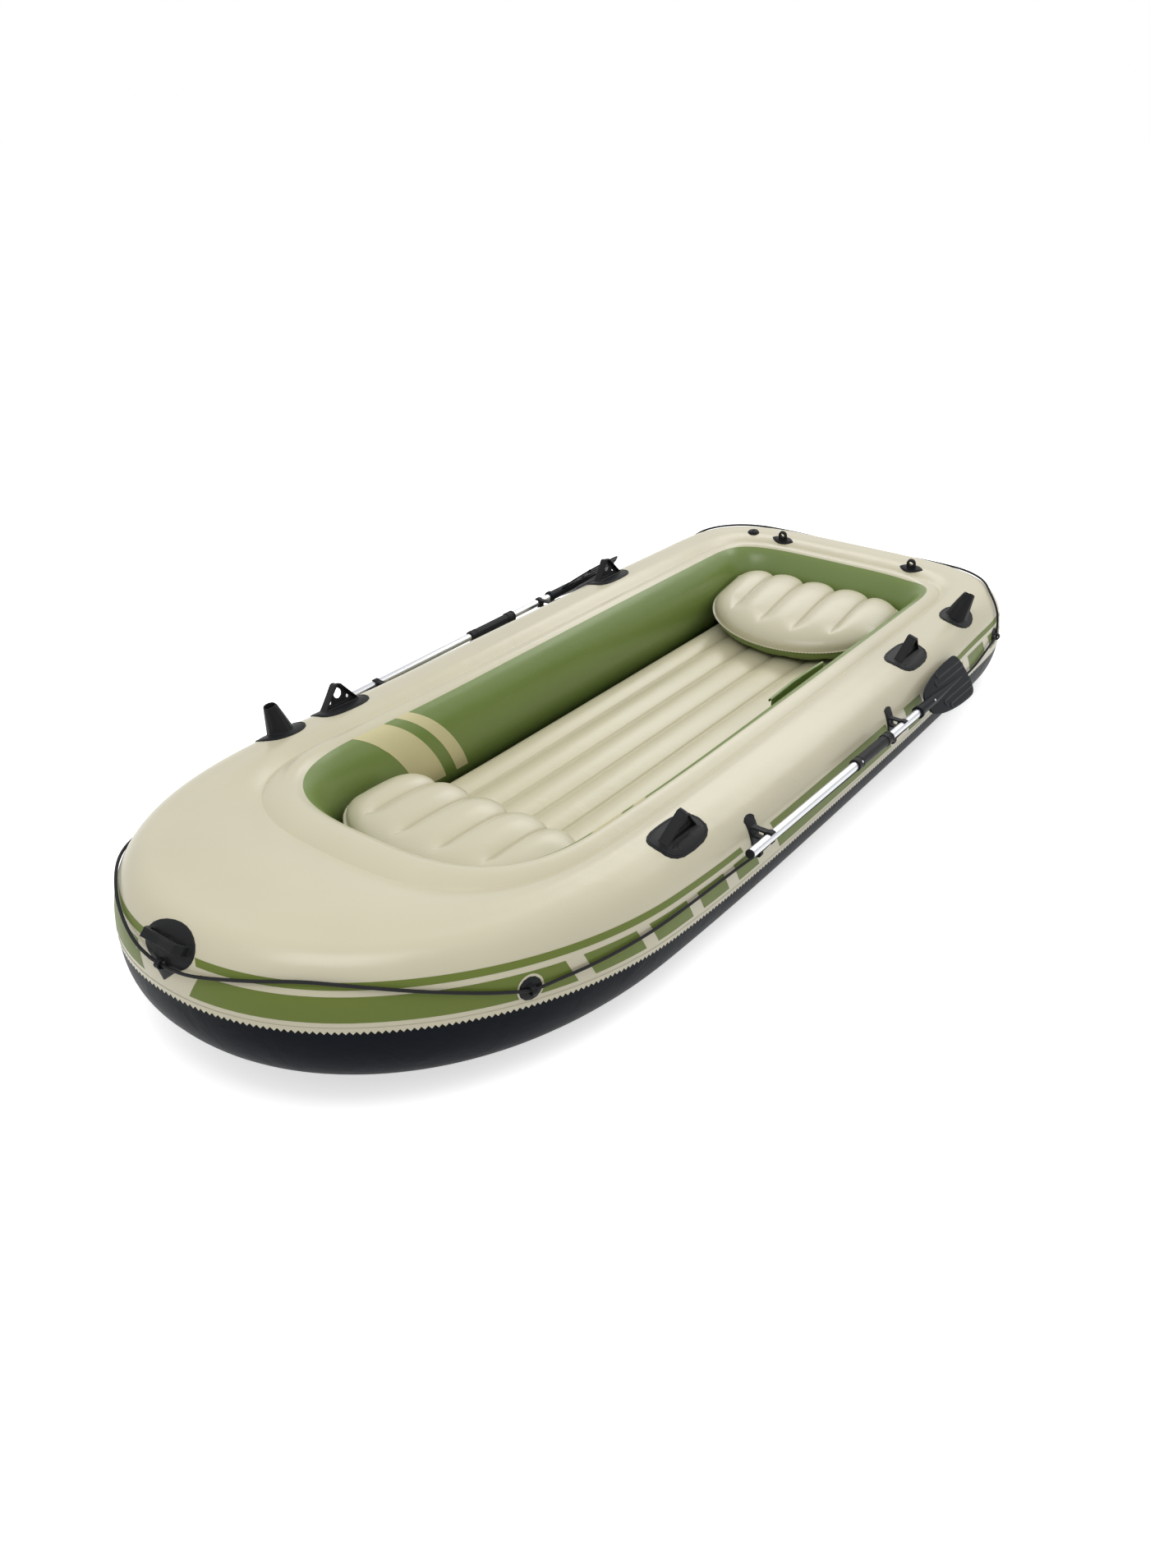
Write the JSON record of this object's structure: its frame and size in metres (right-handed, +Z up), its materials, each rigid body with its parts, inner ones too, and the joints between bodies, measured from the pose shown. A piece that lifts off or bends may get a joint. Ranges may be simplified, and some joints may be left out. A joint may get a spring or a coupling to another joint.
{
  "type": "inflatable dinghy",
  "caption": "Inflatable oval dinghy with a raised bow, inner and outer air chambers, channelled floor, loose seat cushions, oars in side clips, oarlocks, rod holders and a grab rope.",
  "frame": {"origin": "on the ground, midway along the hull, on its centre plane", "axes": "+X to the bow, +Y to port, +Z up"},
  "size_m": [3.492, 1.5658, 0.4455],
  "materials": {
    "beige_film": "satin vinyl film",
    "green_film": "satin vinyl film",
    "navy_film": "satin vinyl film",
    "inside_film": "matt vinyl film",
    "black_moulding": "matt moulded vinyl",
    "aluminium": "brushed"
  },
  "bodies": {
    "hull": {"bow_handle": "black_moulding", "chamber_divider": "inside_film", "floor_bottom_skin": "beige_film", "floor_top_skin": "beige_film", "floor_valve_base": "black_moulding", "floor_web_1": "inside_film", "floor_web_2": "inside_film", "floor_web_3": "inside_film", "floor_web_4": "inside_film", "floor_web_5": "inside_film", "grab_rope": "black_moulding", "hull_bottom_skin": "navy_film", "inner_deck_skin": "beige_film", "inner_valve_base": "black_moulding", "inner_wall_skin": "green_film", "motor_lug_port": "black_moulding", "motor_lug_starboard": "black_moulding", "oar_clip_port_aft": "black_moulding", "oar_clip_port_fore": "black_moulding", "oar_clip_starboard_aft": "black_moulding", "oar_clip_starboard_fore": "black_moulding", "oarlock_port_aft": "black_moulding", "oarlock_port_fore": "black_moulding", "oarlock_starboard_aft": "black_moulding", "oarlock_starboard_fore": "black_moulding", "outer_top_skin": "beige_film", "outer_valve_base": "black_moulding", "pouch_stud_aft": "black_moulding", "pouch_stud_fore": "black_moulding", "rod_holder_port": "black_moulding", "rod_holder_starboard": "black_moulding", "rope_grommet_port_aft": "black_moulding", "rope_grommet_port_fore": "black_moulding", "rope_grommet_starboard_aft": "black_moulding", "rope_grommet_starboard_fore": "black_moulding", "storage_pouch": "green_film"},
    "front_seat": {"front_seat_bottom": "green_film", "front_seat_top": "beige_film", "front_seat_valve": "black_moulding"},
    "rear_seat": {"rear_seat_bottom": "green_film", "rear_seat_top": "beige_film", "rear_seat_valve": "black_moulding"},
    "outer_valve_cap": {"outer_valve_cap": "black_moulding"},
    "inner_valve_cap": {"inner_valve_cap": "black_moulding"},
    "floor_valve_cap": {"floor_valve_cap": "black_moulding"},
    "port_oar": {"port_oar_blade": "black_moulding", "port_oar_connector": "black_moulding", "port_oar_grip_cap": "black_moulding", "port_oar_handle_tube": "aluminium", "port_oar_lower_tube": "aluminium"},
    "port_connector_button": {"port_connector_button": "aluminium"},
    "port_blade_button": {"port_blade_button": "aluminium"},
    "starboard_oar": {"starboard_oar_blade": "black_moulding", "starboard_oar_connector": "black_moulding", "starboard_oar_grip_cap": "black_moulding", "starboard_oar_handle_tube": "aluminium", "starboard_oar_lower_tube": "aluminium"},
    "starboard_connector_button": {"starboard_connector_button": "aluminium"},
    "starboard_blade_button": {"starboard_blade_button": "aluminium"}
  },
  "joints": [
    {"name": "front_seat_slide", "type": "slide", "parent": "hull", "child": "front_seat", "axis": [1, 0, 0], "range_m": [-0.3, 0]},
    {"name": "rear_seat_lift", "type": "slide", "parent": "hull", "child": "rear_seat", "axis": [0, 0, 1], "range_m": [0, 0.25]},
    {"name": "outer_valve_cap_turn", "type": "hinge", "parent": "hull", "child": "outer_valve_cap", "pos_m": [-1.515, -0.412, 0.34924], "axis": [0.0547, -0.0071, 0.9985], "range_deg": [0, 540]},
    {"name": "inner_valve_cap_turn", "type": "hinge", "parent": "hull", "child": "inner_valve_cap", "pos_m": [-0.8, 0.37491, 0.255], "axis": [0.0088, -0.975, 0.2222], "range_deg": [0, 540]},
    {"name": "floor_valve_cap_turn", "type": "hinge", "parent": "hull", "child": "floor_valve_cap", "pos_m": [0.1, 0.29167, 0.11058], "axis": [-0.0056, 0.1352, 0.9908], "range_deg": [0, 540]},
    {"name": "port_oar_slide", "type": "slide", "parent": "hull", "child": "port_oar", "axis": [0.9998, 0, 0.022], "range_m": [-0.08, 0.08]},
    {"name": "port_connector_button_press", "type": "slide", "parent": "port_oar", "child": "port_connector_button", "axis": [0.0134, -0.7944, -0.6072], "range_m": [0, 0.0025], "stiffness_N_per_m": 500, "springref_m": -0.001},
    {"name": "port_blade_button_press", "type": "slide", "parent": "port_oar", "child": "port_blade_button", "axis": [0.0134, -0.7944, -0.6072], "range_m": [0, 0.0025], "stiffness_N_per_m": 500, "springref_m": -0.001},
    {"name": "starboard_oar_slide", "type": "slide", "parent": "hull", "child": "starboard_oar", "axis": [0.9999, 0, -0.015], "range_m": [-0.08, 0.03]},
    {"name": "starboard_connector_button_press", "type": "slide", "parent": "starboard_oar", "child": "starboard_connector_button", "axis": [-0.0091, 0.7944, -0.6073], "range_m": [0, 0.0025], "stiffness_N_per_m": 500, "springref_m": -0.001},
    {"name": "starboard_blade_button_press", "type": "slide", "parent": "starboard_oar", "child": "starboard_blade_button", "axis": [-0.0091, 0.7944, -0.6073], "range_m": [0, 0.0025], "stiffness_N_per_m": 500, "springref_m": -0.001}
  ]
}
